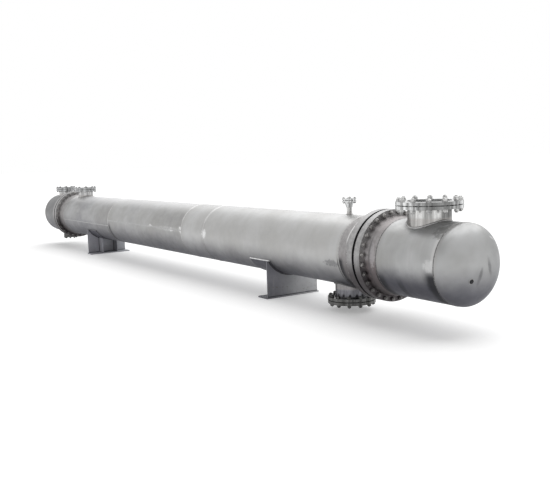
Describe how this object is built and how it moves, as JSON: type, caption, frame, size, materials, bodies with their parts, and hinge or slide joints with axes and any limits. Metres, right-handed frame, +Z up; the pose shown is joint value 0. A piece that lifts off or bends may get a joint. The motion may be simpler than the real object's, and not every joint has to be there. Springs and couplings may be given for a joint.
{
  "type": "shell and tube heat exchanger",
  "caption": "Long horizontal shell and tube heat exchanger in dull stainless steel, with bolted dished channels, flanged nozzles and a vent, on two plate saddles.",
  "frame": {"origin": "on the floor under the middle of the length, at the centre of the object's outline seen from above", "axes": "+X along the shell towards the front channel, +Y across, +Z up"},
  "size_m": [9.486, 0.728, 0.956],
  "materials": {
    "shell_stainless": "pickled and dull, with rolled-plate streaks",
    "girth_stainless": "turned, stained brown near the welds",
    "flange_stainless": "machined bright",
    "neck_stainless": "drawn pipe with vertical streaks",
    "tube_stainless": "drawn tube",
    "saddle_steel": "dark grey mill plate",
    "gasket_black": "matt graphite sheet"
  },
  "bodies": {
    "root": {"front_channel_barrel": "shell_stainless", "front_channel_flange": "girth_stainless", "front_head": "shell_stainless", "front_nozzle_companion_flange": "flange_stainless", "front_nozzle_flange": "flange_stainless", "front_nozzle_neck": "neck_stainless", "front_saddle_base_plate": "saddle_steel", "front_saddle_ribs": "saddle_steel", "front_saddle_wear_pad": "saddle_steel", "front_saddle_web": "saddle_steel", "front_shell_flange": "girth_stainless", "front_tubesheet": "girth_stainless", "girth_gaskets": "gasket_black", "nozzle_gaskets": "gasket_black", "rear_channel_barrel": "shell_stainless", "rear_channel_flange": "girth_stainless", "rear_drain_companion_flange": "flange_stainless", "rear_drain_flange": "flange_stainless", "rear_drain_neck": "neck_stainless", "rear_head": "shell_stainless", "rear_nozzle_companion_flange": "flange_stainless", "rear_nozzle_flange": "flange_stainless", "rear_nozzle_neck": "neck_stainless", "rear_saddle_base_plate": "saddle_steel", "rear_saddle_ribs": "saddle_steel", "rear_saddle_wear_pad": "saddle_steel", "rear_saddle_web": "saddle_steel", "rear_shell_flange": "girth_stainless", "rear_tubesheet": "girth_stainless", "shell_front_course": "shell_stainless", "shell_inlet_companion_flange": "flange_stainless", "shell_inlet_flange": "flange_stainless", "shell_inlet_neck": "neck_stainless", "shell_middle_course": "shell_stainless", "shell_outlet_companion_flange": "flange_stainless", "shell_outlet_flange": "flange_stainless", "shell_outlet_neck": "neck_stainless", "shell_rear_course": "shell_stainless", "shell_short_course": "shell_stainless", "shell_vent_companion_flange": "flange_stainless", "shell_vent_flange": "flange_stainless", "shell_vent_neck": "neck_stainless", "tube_bundle": "tube_stainless"}
  },
  "joints": []
}
